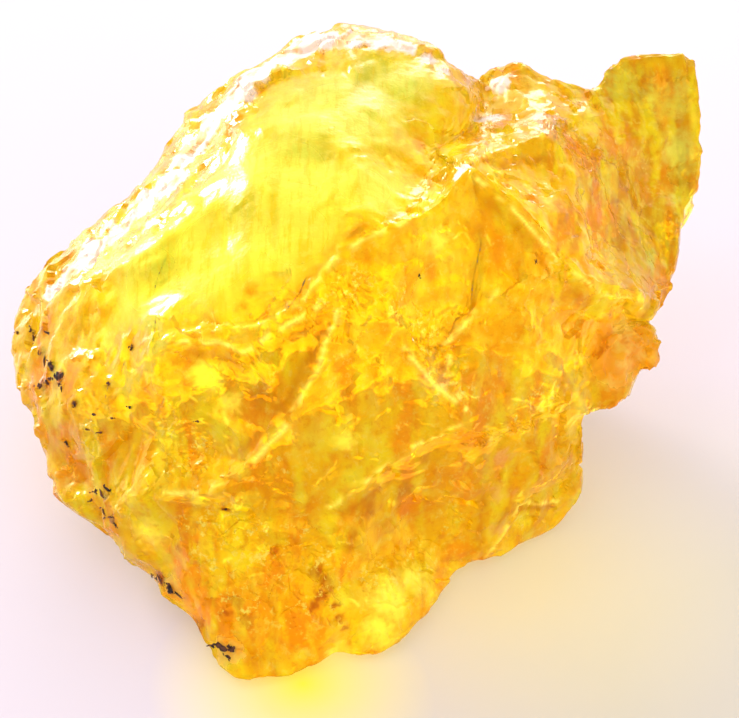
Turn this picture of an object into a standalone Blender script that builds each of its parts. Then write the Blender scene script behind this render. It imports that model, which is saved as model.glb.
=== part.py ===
"""Raw amber piece: one lump of raw amber, about 53 mm across, resting on a flat break.

The skin is two sheets sewn along the outline that the lump shows from EYE: the sheet of the top and front,
and the sheet of the back and underside. Each sheet is laid out from its named corners, with the ridges of
the flake scars kept as sharp edges and the rest left smooth. The skin is subdivided, given swells and a
finer unevenness, thinned to the triangles that the breaks need, and cut flat where it rests.
Metres, +Z up, origin at the middle of the footprint box, on the surface that the lump rests on.
"""

import bmesh
import bpy
from mathutils import Vector
from mathutils.geometry import delaunay_2d_cdt

MM = 0.001

# The lump is laid out as it is sighted from EYE, along SIGHT, on a grid whose step is 0.0725 mm at AIM.
AIM = Vector((0.0, 6.0, 14.0)) * MM
DISTANCE = 200.9 * MM
SIGHT = Vector((0.0, 0.7431, -0.6691))
EYE = AIM - SIGHT * DISTANCE
GRID_STEP = 0.0725 * MM
GRID_MIDDLE = (369.5, 359.0)

# The outline, in order round the lump. Each corner: steps across, steps down, height in millimetres.
OUTLINE = {
    "left_corner": (12, 330, 9.5), "left_nick": (29, 296, 11.5), "strip_end": (33, 284, 12.0),
    "strip_low": (75, 245, 14.8), "strip_mid": (100, 222, 16.2), "strip_high": (130, 190, 17.8),
    "strip_bend": (160, 155, 19.4), "strip_top": (200, 103, 21.6), "dome_back": (255, 63, 23.8),
    "dome_far_left": (300, 38, 25.2), "dome_far": (340, 27, 26.0), "dome_far_mid": (380, 28, 26.3),
    "dome_far_right": (417, 40, 26.2), "dome_side": (446, 62, 25.6), "notch": (477, 80, 22.6),
    "bump_left": (492, 71, 22.6), "bump_top": (522, 64, 23.0), "bump_right": (550, 77, 22.6),
    "dip": (590, 86, 22.2), "horn_left": (613, 67, 22.8), "horn_mid": (645, 56, 23.0),
    "horn_top": (680, 62, 22.6), "horn_right": (692, 78, 21.4), "side_high": (700, 150, 17.6),
    "side_mid": (683, 215, 15.4), "side_low": (671, 285, 13.4), "side_nick": (649, 322, 12.8),
    "knob_high": (659, 343, 12.2), "knob_right": (656, 368, 11.2), "knob_low": (637, 378, 10.8),
    "ledge_end": (622, 400, 10.0), "ledge_far": (592, 411, 9.6), "heel_top": (577, 428, 8.4),
    "heel_back": (582, 480, 4.2), "heel_side": (575, 499, 2.2), "heel_near": (547, 528, 0.8),
    "heel_mid": (514, 546, 0.7), "heel_front": (478, 562, 0.7), "inner_foot": (454, 574, 0.7),
    "front_low": (437, 597, 0.7), "front_right": (421, 620, 0.7), "front_bulge": (400, 641, 0.7),
    "front_mid": (370, 654, 0.7), "front_dent": (338, 650, 0.9), "tip_right": (303, 668, 0.7),
    "tip": (262, 680, 0.7), "tip_left": (236, 674, 0.9), "toe": (210, 650, 1.3), "toe_nick": (184, 617, 2.0),
    "lobe_knob": (160, 604, 2.4), "foot_near": (152, 580, 2.9), "foot_mid": (110, 540, 3.8),
    "foot_bend": (80, 517, 4.8), "foot_left": (54, 494, 5.4), "foot_far": (43, 452, 6.2),
    "foot_high": (34, 420, 7.2), "foot_top": (18, 376, 8.4),
}

# Corners of the top and front sheet, inside the outline, given in the same way.
FRONT = {
    "brow_top": (300, 62, 26.0), "brow_high": (262, 108, 26.2), "brow_mid": (232, 176, 25.4),
    "brow_low": (152, 247, 21.8), "brow_end": (62, 291, 15.2), "dome_crown": (345, 120, 28.0),
    "dome_right": (440, 95, 26.4), "dome_low": (340, 195, 27.6), "dome_left": (262, 215, 26.0),
    "dome_step": (215, 275, 23.2), "dome_corner": (120, 300, 18.6), "dome_edge": (470, 102, 24.4),
    "dome_foot": (436, 152, 25.4), "dome_heel": (400, 192, 26.6), "valley": (486, 112, 22.6),
    "valley_end": (448, 166, 25.8), "peak": (472, 165, 28.6), "crest_right": (433, 205, 27.6),
    "crest_high": (385, 230, 27.0), "crest_mid": (340, 255, 26.0), "crest_low": (305, 290, 24.6),
    "crest_left": (283, 316, 23.4), "crest_dip": (245, 345, 21.7), "crest_end": (205, 336, 21.6),
    "shoulder": (163, 356, 19.2), "saddle": (488, 155, 26.0), "lobe_crest": (540, 138, 25.4),
    "lobe_knee": (560, 139, 24.8), "lobe_face": (520, 185, 25.2), "bump_face": (520, 105, 22.9),
    "neck": (558, 104, 23.2), "scoop_left": (585, 135, 23.2), "scoop_mid": (640, 135, 19.6),
    "scoop_low": (636, 200, 17.2), "horn_inner": (672, 100, 20.6), "fold_high": (594, 165, 22.0),
    "fold_mid": (600, 215, 20.0), "fold_low": (622, 262, 17.6), "side_inner": (672, 180, 16.4),
    "side_bulge": (655, 245, 15.4), "lobe_slope": (560, 195, 24.0), "ridge_high": (520, 200, 27.0),
    "ridge_mid": (565, 248, 23.6), "ridge_low": (600, 285, 20.4), "ridge_end": (640, 296, 17.0),
    "ridge_foot": (656, 290, 14.6), "wall_top": (62, 335, 14.0), "wall_nick": (66, 385, 12.6),
    "wall_mid": (76, 425, 11.0), "wall_low": (105, 495, 8.2), "wall_foot": (133, 540, 6.2),
    "left_face": (120, 400, 14.6), "flake_left": (165, 440, 13.7), "flake_top": (205, 415, 16.3),
    "flake_right": (244, 452, 15.9), "flake_low": (207, 493, 12.7), "flake_mid": (205, 455, 13.9),
    "left_flat": (235, 385, 18.4), "left_high": (190, 375, 18.2), "rib_foot": (150, 501, 10.8),
    "rib_top": (324, 306, 24.0), "rib_high": (320, 365, 21.0), "rib_mid": (290, 415, 18.4),
    "rib_low": (248, 470, 15.2), "spur_left": (356, 319, 23.4), "spur": (398, 326, 22.6),
    "wedge_left": (413, 395, 17.6), "spur_low": (440, 380, 18.6), "fork": (470, 424, 15.6),
    "middle_face": (360, 395, 18.0), "bay": (400, 280, 24.4), "bay_low": (425, 330, 21.1),
    "seam_top": (478, 225, 25.6), "seam": (472, 300, 21.8), "hook_end": (497, 292, 22.4),
    "hook": (447, 343, 19.8), "right_face": (540, 300, 21.2), "right_flat": (530, 370, 16.8),
    "right_low": (572, 360, 15.0), "knob_root": (612, 322, 15.4), "knob_face": (630, 345, 14.0),
    "knob_foot": (590, 378, 13.0), "glare": (560, 403, 13.2), "ledge_near": (518, 428, 13.0),
    "ledge_mid": (560, 424, 11.0), "shelf_high": (420, 443, 14.6), "shelf": (370, 478, 13.0),
    "shelf_end": (330, 508, 11.4), "shelf_left": (270, 520, 11.0), "under_fork": (474, 440, 13.0),
    "under_shelf": (398, 490, 10.6), "column_left": (470, 500, 7.2), "column_low": (480, 548, 2.6),
    "column_right": (508, 450, 10.6), "column_mid": (512, 500, 6.0), "heel_face": (545, 460, 8.6),
    "heel_edge": (545, 495, 4.6), "heel_crook": (572, 440, 8.0), "face_left": (352, 548, 7.6),
    "face_mid": (420, 520, 6.2), "face_low": (400, 556, 4.6), "face_right": (440, 560, 2.4),
    "bulge_top": (370, 565, 5.6), "bulge": (390, 605, 3.8), "bulge_left": (330, 600, 5.2),
    "bulge_low": (350, 635, 2.2), "low_left": (190, 545, 8.2), "low_mid": (240, 560, 8.0),
    "low_right": (300, 565, 7.6), "line_left": (180, 585, 5.2), "line_mid": (233, 598, 5.6),
    "line_right": (285, 594, 6.0), "orange": (215, 622, 3.6), "orange_mid": (265, 640, 3.2),
    "orange_right": (305, 635, 3.6),
}

# Corners of the back and underside sheet: x, y and z in millimetres.
BACK = {
    "back_strip_low": (-24.0, 18.6, 7.5), "back_strip": (-17.5, 26.0, 11.0),
    "back_strip_high": (-13.5, 29.5, 16.5), "back_dome_left": (-7.0, 32.6, 17.5),
    "back_dome": (0.5, 33.6, 18.5), "back_dome_right": (6.5, 31.0, 17.0), "back_notch": (8.5, 28.0, 16.0),
    "back_bump": (12.0, 32.0, 17.0), "back_dip": (16.5, 30.0, 15.5), "back_horn": (21.5, 33.4, 17.0),
    "back_side": (23.9, 27.5, 11.5), "back_side_low": (20.4, 16.5, 8.5), "back_left": (-17.0, 21.0, 3.6),
    "back_scar_left": (-8.0, 27.2, 8.0), "back_mid": (-2.0, 30.5, 11.5), "back_scar_mid": (1.5, 27.5, 5.5),
    "back_rib": (5.5, 27.6, 8.5), "back_right": (10.5, 27.6, 9.5), "lobe_under": (16.5, 25.5, 8.5),
    "lobe_under_far": (22.0, 25.0, 9.0), "lobe_under_near": (18.5, 14.0, 5.0), "base_left": (-18.5, 8.0, -0.7),
    "base_back_left": (-12.0, 17.0, -0.7), "base_back": (-1.0, 23.0, -0.7),
    "base_back_right": (9.0, 21.0, -0.7), "base_right": (14.5, 12.0, -0.7), "base_heel": (12.0, 4.5, -0.7),
    "base_inner": (5.5, 1.0, -0.7), "base_front_right": (1.0, -6.0, -0.7), "base_front": (-7.0, -8.5, -0.7),
    "base_front_left": (-13.5, -2.5, -0.7), "base_mid": (-2.0, 7.0, -0.7),
}

# Ridges: how sharp, from 0 to 1, and the corners along each.
FRONT_RIDGES = {
    "brow": (0.5, "dome_far_left brow_top brow_high brow_mid brow_low brow_end left_nick"),
    "crest": (0.95, "shoulder crest_end crest_dip crest_left crest_low crest_mid crest_high crest_right peak"),
    "dome_rim": (0.6, "dome_side dome_edge dome_foot valley_end"),
    "ridge": (0.9, "peak ridge_high ridge_mid ridge_low ridge_end ridge_foot side_low"),
    "saddle": (0.8, "peak saddle lobe_crest lobe_knee"),
    "neck": (0.6, "bump_right neck lobe_knee fold_high fold_mid fold_low ridge_end"),
    "scoop": (0.4, "dip scoop_left fold_high"),
    "bump": (0.4, "notch valley saddle"),
    "rib": (0.9, "crest_low rib_top rib_high rib_mid flake_right rib_low flake_low rib_foot wall_low"),
    "spur": (0.7, "rib_top spur_left spur"),
    "wedge": (0.9, "spur spur_low fork"),
    "wedge2": (0.5, "spur wedge_left shelf_high"),
    "flake": (0.5, "flake_low flake_left flake_top flake_right"),
    "seam": (0.6, "peak seam_top seam hook"),
    "hook": (0.8, "hook_end hook spur_low"),
    "shelf": (0.9, "fork shelf_high shelf shelf_end"),
    "shelf2": (0.4, "shelf_end shelf_left rib_foot"),
    "ledge": (0.9, "fork ledge_near ledge_mid ledge_far"),
    "glare": (0.5, "ledge_near glare knob_foot ledge_end"),
    "knob": (0.5, "side_nick knob_root knob_foot"),
    "wall": (0.5, "left_nick wall_top wall_nick wall_mid wall_low wall_foot foot_near"),
    "column": (0.7, "fork under_fork column_left column_low heel_front"),
    "column2": (0.7, "ledge_near column_right column_mid column_low"),
    "heel": (0.6, "column_low heel_edge heel_side"),
    "face": (0.7, "shelf_end face_left face_low face_right column_low"),
    "bulge": (0.5, "face_left bulge_left bulge_low front_dent"),
    "line": (0.7, "foot_near line_left line_mid line_right low_right face_left"),
}
BACK_RIDGES = {
    "back_shoulder": (
        0.6,
        "back_strip_low back_strip back_strip_high back_dome_left back_dome back_dome_right back_notch "
        "back_bump back_dip back_horn back_side",
    ),
    "back_rib": (0.85, "back_dome back_mid back_scar_mid base_back"),
    "back_edge": (
        0.7,
        "back_strip back_scar_left back_mid back_rib back_right lobe_under lobe_under_far back_side",
    ),
    "base": (
        0.6,
        "base_left base_back_left base_back base_back_right base_right base_heel base_inner "
        "base_front_right base_front base_front_left base_left",
    ),
}
OUTLINE_SHARPNESS = 0.45

SUBDIVISIONS = 3
FIT_ROUNDS = 6
FIT_SHARE = 0.7
SWELL = 0.9 * MM
SWELL_SIZE = 5.0 * MM
UNEVEN = 0.35 * MM
UNEVEN_SIZE = 2.4 * MM
TRIANGLES = 9600

AMBER_COLOUR = (0.98, 0.62, 0.04, 1.0)
AMBER_ROUGHNESS = 0.12
AMBER_IOR = 1.54


def clear_scene():
    for obj in list(bpy.data.objects):
        bpy.data.objects.remove(obj)


RIGHT = Vector((1.0, 0.0, 0.0))
UP = RIGHT.cross(SIGHT)


def sighted(across, down, height):
    """The point that EYE sights at that place of the grid, at that height above the ground."""
    ray = SIGHT * DISTANCE + (RIGHT * (across - GRID_MIDDLE[0]) + UP * (GRID_MIDDLE[1] - down)) * GRID_STEP
    return EYE + ray * ((height * MM - EYE.z) / ray.z)


def on_grid(point):
    """Where a point lies in the view from EYE."""
    ray = point - EYE
    return Vector((ray.dot(RIGHT), ray.dot(UP))) / ray.dot(SIGHT)


def sheet_faces(names, places, ridges):
    """Triangles inside the outline, by corner name, with every ridge kept as an edge."""
    number = {name: i for i, name in enumerate(names)}
    links = []
    for _sharp, chain in ridges.values():
        chain = chain.split()
        links += [(number[a], number[b]) for a, b in zip(chain, chain[1:])]
    rim = [number[name] for name in OUTLINE]
    flat = [on_grid(places[name]) for name in names]
    out = delaunay_2d_cdt(flat, links, [rim], 1, 1e-7)
    old = [ids[0] for ids in out[3]]
    return [[names[old[i]] for i in face] for face in out[2]]


def build_skin(collection):
    places = {name: sighted(*p) for name, p in {**OUTLINE, **FRONT}.items()}
    places |= {name: Vector(p) * MM for name, p in BACK.items()}
    front = sheet_faces([*OUTLINE, *FRONT], places, FRONT_RIDGES)
    back = sheet_faces([*OUTLINE, *BACK], places, BACK_RIDGES)
    bm = bmesh.new()
    verts = {name: bm.verts.new(p) for name, p in places.items()}
    for face in front:
        bm.faces.new([verts[name] for name in face])
    for face in back:
        bm.faces.new([verts[name] for name in reversed(face)])
    crease = bm.edges.layers.float.new("crease_edge")
    rim = list(OUTLINE)
    chains = [(OUTLINE_SHARPNESS, rim + rim[:1])]
    chains += [(sharp, chain.split()) for sharp, chain in [*FRONT_RIDGES.values(), *BACK_RIDGES.values()]]
    for sharp, chain in chains:
        for a, b in zip(chain, chain[1:]):
            edge = bm.edges.get((verts[a], verts[b]))
            edge[crease] = max(edge[crease], sharp)
    bmesh.ops.recalc_face_normals(bm, faces=bm.faces)
    mesh = bpy.data.meshes.new("amber_piece")
    bm.to_mesh(mesh)
    bm.free()
    obj = bpy.data.objects.new("amber_piece", mesh)
    collection.objects.link(obj)
    return obj


def final_points(obj):
    """The object's points after its modifiers."""
    shape = obj.evaluated_get(bpy.context.evaluated_depsgraph_get())
    return [obj.matrix_world @ v.co for v in shape.data.vertices]


def fit_cage(obj):
    """Moves the cage until its corners come out of the subdivision where the tables put them."""
    wanted = [v.co.copy() for v in obj.data.vertices]
    for _ in range(FIT_ROUNDS):
        for v, goal, place in zip(obj.data.vertices, wanted, final_points(obj)):
            v.co += (goal - place) * FIT_SHARE
        obj.data.update()
        bpy.context.view_layer.update()


def shift_skin(obj, name, size, depth, height):
    """Moves the skin about by a cloud of three colours, one for each axis, so that neighbours stay neighbours."""
    texture = bpy.data.textures.new(name, "CLOUDS")
    texture.noise_scale = size
    texture.noise_depth = depth
    texture.cloud_type = "COLOR"
    swell = obj.modifiers.new(name, "DISPLACE")
    swell.texture = texture
    swell.texture_coords = "LOCAL"
    swell.direction = "RGB_TO_XYZ"
    swell.strength = height
    swell.mid_level = 0.5


def amber():
    material = bpy.data.materials.new("amber")
    material.use_nodes = True
    shader = material.node_tree.nodes["Principled BSDF"]
    shader.inputs["Base Color"].default_value = AMBER_COLOUR
    shader.inputs["Roughness"].default_value = AMBER_ROUGHNESS
    shader.inputs["Metallic"].default_value = 0.0
    shader.inputs["IOR"].default_value = AMBER_IOR
    shader.inputs["Transmission Weight"].default_value = 1.0
    return material


def extents(points):
    return (Vector([min(p[i] for p in points) for i in range(3)]), Vector([max(p[i] for p in points) for i in range(3)]))


def box(name, low, high, collection):
    bm = bmesh.new()
    bmesh.ops.create_cube(bm, size=1.0)
    for v in bm.verts:
        v.co = Vector([l if c < 0 else h for c, l, h in zip(v.co, low, high)])
    mesh = bpy.data.meshes.new(name)
    bm.to_mesh(mesh)
    bm.free()
    obj = bpy.data.objects.new(name, mesh)
    obj.hide_render = True
    obj.display_type = "WIRE"
    collection.objects.link(obj)
    return obj


def main():
    clear_scene()
    lump = bpy.data.collections.new("amber")
    tools = bpy.data.collections.new("tools")
    bpy.context.scene.collection.children.link(lump)
    bpy.context.scene.collection.children.link(tools)

    skin = build_skin(lump)
    skin.data.materials.append(amber())
    smooth = skin.modifiers.new("round_off", "SUBSURF")
    smooth.levels = smooth.render_levels = SUBDIVISIONS
    fit_cage(skin)
    shift_skin(skin, "swell", SWELL_SIZE, 0, SWELL)
    shift_skin(skin, "uneven", UNEVEN_SIZE, 1, UNEVEN)
    skin.modifiers.new("triangles_only", "TRIANGULATE")
    thin = skin.modifiers.new("thin_out", "DECIMATE")
    # A closed skin of triangles has twice as many faces as points.
    thin.ratio = TRIANGLES / (2 * len(final_points(skin)))
    cut = skin.modifiers.new("lay_flat", "BOOLEAN")
    cut.operation = "DIFFERENCE"
    cut.solver = "EXACT"
    cut.object = box("ground", (-0.06, -0.06, -0.02), (0.06, 0.06, 0.0), tools)
    low, high = extents(final_points(skin))
    # The middle of the footprint box goes to the origin.
    skin.location -= Vector(((low.x + high.x) / 2, (low.y + high.y) / 2, 0.0))


if __name__ == "__main__":
    main()
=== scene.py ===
# %% [markdown]
# # A piece of raw amber
# Raw amber is fossil tree resin: clear, golden, and broken out of a larger lump. This notebook dresses the
# bare solid. It refines the skin, breaks it the way resin breaks, colours it, sets flecks and cracks inside,
# and lights the piece from behind on a pale floor.

import bmesh
import bpy
import numpy as np
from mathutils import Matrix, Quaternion, Vector, noise
from mathutils.bvhtree import BVHTree
from mathutils.kdtree import KDTree


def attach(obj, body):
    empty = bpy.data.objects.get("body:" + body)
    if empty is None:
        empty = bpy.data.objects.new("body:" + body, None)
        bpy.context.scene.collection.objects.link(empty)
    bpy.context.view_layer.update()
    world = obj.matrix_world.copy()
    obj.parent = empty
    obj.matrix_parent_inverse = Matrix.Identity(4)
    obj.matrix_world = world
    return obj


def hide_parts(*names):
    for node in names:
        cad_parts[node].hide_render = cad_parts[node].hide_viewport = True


MM = 0.001
NOISE_SEED = 12
noise.seed_set(NOISE_SEED)  # without a seed, noise_vector is shifted by the clock
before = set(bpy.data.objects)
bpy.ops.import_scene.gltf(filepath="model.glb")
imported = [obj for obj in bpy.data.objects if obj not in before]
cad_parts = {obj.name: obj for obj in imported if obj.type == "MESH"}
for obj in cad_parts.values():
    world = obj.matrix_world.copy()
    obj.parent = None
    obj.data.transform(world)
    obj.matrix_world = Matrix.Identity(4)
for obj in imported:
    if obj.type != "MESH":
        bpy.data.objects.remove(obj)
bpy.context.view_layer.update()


def in_mm(lengths):
    """Lengths in mm, rounded for printing."""
    return [round(v / MM, 1) for v in lengths]


def set_up(name, data):
    """A new object of that data, in the scene."""
    made = bpy.data.objects.new(name, data)
    bpy.context.scene.collection.objects.link(made)
    return made


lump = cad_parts["amber_piece"]

# %% [markdown]
# ## Where to look from
# A camera at table height would see only the broken front, and one straight above only the dome. One that
# looks down at about forty-two degrees shows both. Its lens is long, so that the piece is drawn almost
# without perspective, as in a close study of a small stone.

# %% The camera
SIGHT = Vector((0.0, 0.7431, -0.6691))
ACROSS = Vector((1.0, 0.0, 0.0))
UPWARD = ACROSS.cross(SIGHT).normalized()
AIM = Vector((0.7161, -4.2285, 14.0)) * MM
EYE_DISTANCE = 200.9 * MM
camera_lens = bpy.data.cameras.new("long_lens")
camera_lens.lens = 135.0
camera_lens.sensor_width = 36.0
camera_lens.clip_start = 10 * MM
camera = set_up("camera", camera_lens)
camera.location = AIM - SIGHT * EYE_DISTANCE
camera.rotation_mode = "QUATERNION"
camera.rotation_quaternion = SIGHT.to_track_quat("-Z", "Y")
bpy.context.scene.camera = camera
print("the eye stands at", in_mm(camera.location), "mm")

# %% [markdown]
# ## The skin
# The solid is made of flat triangles, and clear amber shows every one of them, because each bends the light
# its own way. So the skin is refined first. Loop's rule splits every triangle in four and eases the points
# into a smooth sheet, but it keeps an edge crisp where two breaks meet, which is how resin breaks.

# %% Weld the solid's triangles
WELD_GAP = 0.001 * MM
weld = bmesh.new()
weld.from_mesh(lump.data)
bmesh.ops.remove_doubles(weld, verts=weld.verts, dist=WELD_GAP)
bmesh.ops.triangulate(weld, faces=weld.faces)
bmesh.ops.recalc_face_normals(weld, faces=weld.faces)
points = np.array([v.co for v in weld.verts])
faces = np.array([[v.index for v in f.verts] for f in weld.faces])
weld.free()
print("welded skin:", len(points), "points,", len(faces), "triangles")


# %% Sort the edges
SHORTEST = 1e-20  # so that an arrow of no length is not divided by nothing


def to_unit(arrows):
    """Every arrow made one long."""
    return arrows / np.maximum(np.linalg.norm(arrows, axis=1, keepdims=True), SHORTEST)


def face_normals(points, faces):
    a, b, c = points[faces[:, 0]], points[faces[:, 1]], points[faces[:, 2]]
    return to_unit(np.cross(b - a, c - a))


def edge_table(faces):
    """Each edge once: its two ends, the two faces beside it and their far corners; and each face's edges."""
    sides = np.concatenate([faces[:, [0, 1]], faces[:, [1, 2]], faces[:, [2, 0]]])
    far = np.concatenate([faces[:, 2], faces[:, 0], faces[:, 1]])
    face = np.tile(np.arange(len(faces)), 3)
    ends = np.sort(sides, axis=1)
    order = np.lexsort((ends[:, 1], ends[:, 0]))
    one, two = order[0::2], order[1::2]
    edge_of_side = np.empty(len(order), int)
    edge_of_side[one] = edge_of_side[two] = np.arange(len(one))
    return ends[one], (face[one], face[two]), (far[one], far[two]), edge_of_side.reshape(3, -1).T


CRISP_ANGLE = 27.0  # degrees
ends, beside, _, _ = edge_table(faces)
flat = face_normals(points, faces)
turn = np.degrees(np.arccos(np.clip((flat[beside[0]] * flat[beside[1]]).sum(1), -1, 1)))
crisp = turn > CRISP_ANGLE
print("crisp edges:", int(crisp.sum()), "of", len(crisp))


# %% Refine the skin twice
NEAR, FAR = 0.375, 0.125  # Loop's weights for a new point: the edge's ends, and the two corners across it
CREASE_OWN, CREASE_NEXT = 0.75, 0.125  # an old point on a crisp edge: its own place, and its neighbours'
LOOP_FIRST, LOOP_TURN = 0.625, 0.25  # an old point elsewhere
ROUNDS = 2


def gather(count, ends, values_a, values_b):
    """Each point's sum over its neighbours."""
    total = np.zeros((count, 3))
    np.add.at(total, ends[:, 0], values_b)
    np.add.at(total, ends[:, 1], values_a)
    return total


def loop_step(points, faces, crisp):
    """Splits every triangle in four and eases the points, but not across crisp edges."""
    ends, _, far, edges_of = edge_table(faces)
    count = len(points)
    a, b = points[ends[:, 0]], points[ends[:, 1]]
    middle = (a + b) * NEAR + (points[far[0]] + points[far[1]]) * FAR
    middle[crisp] = (a[crisp] + b[crisp]) / 2
    degree = np.bincount(ends.ravel(), minlength=count)
    share = (LOOP_FIRST - (NEAR + LOOP_TURN * np.cos(2 * np.pi / degree)) ** 2) / degree
    eased = points * (1 - degree * share)[:, None] + gather(count, ends, a, b) * share[:, None]
    crisp_degree = np.bincount(ends[crisp].ravel(), minlength=count)
    along = points * CREASE_OWN + gather(count, ends[crisp], a[crisp], b[crisp]) * CREASE_NEXT
    eased[crisp_degree == 2] = along[crisp_degree == 2]
    eased[crisp_degree > 2] = points[crisp_degree > 2]
    m = edges_of + count
    quarters = [[faces[:, k], m[:, k], m[:, k - 1]] for k in range(3)] + [[m[:, 0], m[:, 1], m[:, 2]]]
    new_faces = np.concatenate([np.stack(q, 1) for q in quarters])
    halves = {(end, count + i) for i in np.nonzero(crisp)[0] for end in ends[i]}
    new_crisp = np.array([(p, q) in halves for p, q in edge_table(new_faces)[0]])
    return np.concatenate([eased, middle]), new_faces, new_crisp


for _ in range(ROUNDS):
    points, faces, crisp = loop_step(points, faces, crisp)
print("refined skin:", len(points), "points,", len(faces), "triangles")


# %% Which way each point faces
def point_normals(points, faces):
    total = np.zeros_like(points)
    flat = face_normals(points, faces)
    for k in range(3):
        np.add.at(total, faces[:, k], flat)
    return to_unit(total)


BASE_HEIGHT = 0.02 * MM  # lower points are the flat base
print("points on the flat base:", int((points[:, 2] < BASE_HEIGHT).sum()))

# %% [markdown]
# ## Naming places on the piece
# A maker marks a stone by looking at it, so places are named on a sighting grid: steps across and steps
# down, as seen from the camera. A line cast from the eye through the grid finds the skin. Such a place is a
# real point of the piece, so what is put there stays there from every side.

# %% Cast a place onto the skin
GRID_STEP = 0.0725 * MM
GRID_MIDDLE = (369.5, 359.0)
CREST = (265, 330)
skin_tree = BVHTree.FromPolygons(points.tolist(), faces.tolist())


def on_skin(across, down):
    """The point of the skin at a place of the sighting grid, and its outward normal."""
    toward = (
        SIGHT * EYE_DISTANCE
        + ACROSS * (across - GRID_MIDDLE[0]) * GRID_STEP
        + UPWARD * (GRID_MIDDLE[1] - down) * GRID_STEP
    )
    place, facing, _, _ = skin_tree.ray_cast(camera.location, toward.normalized())
    if place is None:
        raise ValueError(f"no skin at {across}, {down}")
    return place, facing


print("the crest is at", in_mm(on_skin(*CREST)[0]), "mm")


# %% Masks from patches and from drawn lines
WANDER_SIZES = (0.8, 0.35)  # mm


def noise_at(points, size):
    """Smooth noise of a size in mm at each point."""
    return np.array([noise.noise(Vector(p) / (size * MM)) for p in points])


def patch(points, *spots, soft=0.5, ragged=0.0):
    """1 inside patches of (across, down, radius in mm), fading to 0 at rims that wander by ragged mm."""
    mask = np.zeros(len(points))
    wander = np.zeros(len(points))
    for size in WANDER_SIZES if ragged else ():
        wander += ragged * noise_at(points, size)
    for across, down, radius in spots:
        away = np.linalg.norm(points - np.array(on_skin(across, down)[0]), axis=1) / MM
        mask = np.maximum(mask, np.clip((1 - (away + wander) / radius) / soft, 0, 1))
    return mask * mask * (3 - 2 * mask)


def line_on_skin(*places, step=3.0):
    """Points of the skin along a line drawn on the sighting grid."""
    out = []
    for (a0, d0), (a1, d1) in zip(places, places[1:]):
        count = max(1, int(np.hypot(a1 - a0, d1 - d0) / step))
        out += [on_skin(a0 + (a1 - a0) * k / count, d0 + (d1 - d0) * k / count)[0] for k in range(count + 1)]
    return out


def reach_of(points, lines):
    """How far each point is from the nearest drawn line, in mm."""
    marks = [mark for line in lines for mark in line_on_skin(*line)]
    tree = KDTree(len(marks))
    for i, mark in enumerate(marks):
        tree.insert(mark, i)
    tree.balance()
    return np.array([tree.find(p)[2] for p in points]) / MM


print("the rims of patches wander over", WANDER_SIZES, "mm")

# %% [markdown]
# ## Where the damage is
# A raw lump differs from place to place: one face is fresh and glassy, another still has its crust, a third
# has crumbled. Such differences are usually painted by hand as masks. Here each mask is written down as
# round patches and drawn lines, so that it can be read, changed and repeated exactly.

# %% Places with a crust and painted glare, a weathered rind or a milky dome
# The crust patches follow the far rim and a few spots on top; their white is partly real crust and partly
# painted glare.
CRUST_AND_GLARE = (  # across, down, radius in mm
    (445, 70, 0.5), (428, 58, 0.8), (405, 48, 1.2), (382, 42, 1.4), (350, 39, 1.6), (325, 42, 1.7),
    (300, 50, 1.8), (278, 62, 1.9), (256, 78, 2.0), (236, 98, 2.1), (212, 126, 2.0), (192, 152, 2.0),
    (168, 182, 2.0), (140, 207, 2.0), (114, 230, 2.1), (88, 254, 2.1), (64, 274, 1.8), (50, 290, 1.1),
    (150, 225, 0.8), (485, 118, 1.3), (500, 85, 1.2), (461, 172, 0.8),
)
CLEAR_GAPS = (
    (122, 218, 0.9), (134, 207, 0.7), (102, 236, 0.7), (74, 256, 0.9), (58, 270, 0.9), (196, 130, 0.7),
)
WEATHERED = (
    (620, 350, 3.4), (645, 350, 2.6), (28, 350, 0.9), (42, 430, 1.2), (62, 480, 1.3), (170, 590, 1.2),
    (505, 104, 1.7), (228, 650, 1.4), (480, 110, 1.2),
)
DOME = (
    (330, 110, 8.0), (270, 180, 8.5), (220, 250, 7.5), (150, 280, 5.0), (390, 80, 5.0), (295, 235, 5.0),
    (365, 185, 4.0),
)
print("patches of crust, rind and dome:", len(CRUST_AND_GLARE), len(WEATHERED), len(DOME))

# %% Places that crumbled and places with a painted glow
CRUMBLE = (
    (440, 350, 2.6), (455, 395, 2.4), (420, 330, 1.8), (350, 285, 2.2), (310, 310, 2.2), (395, 300, 1.6),
    (196, 451, 2.2), (170, 425, 2.4), (240, 530, 3.2), (210, 560, 2.6), (300, 540, 2.4), (270, 470, 1.8),
    (160, 470, 2.2), (120, 500, 2.0), (545, 405, 2.6), (520, 420, 2.0), (380, 580, 2.4), (520, 520, 2.6),
    (240, 600, 3.0), (590, 150, 2.2), (600, 250, 2.0), (560, 265, 1.8), (480, 440, 1.8), (330, 590, 2.2),
    (260, 570, 3.0), (330, 555, 2.4), (200, 530, 2.5), (290, 610, 2.2), (420, 560, 2.2), (455, 520, 2.2),
    (90, 440, 2.0),
)
# Painted glow: the skin gives a little light of its own in these patches.
PAINTED_GLOW_SPOTS = (
    (390, 600, 2.6), (380, 632, 2.0), (412, 578, 1.6), (340, 650, 1.6), (150, 535, 1.8), (205, 378, 1.6),
    (228, 404, 1.2), (345, 440, 1.2), (545, 405, 0.8), (440, 240, 1.2),
)
print("crumbled patches:", len(CRUMBLE), "and bright ones:", len(PAINTED_GLOW_SPOTS))
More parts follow.
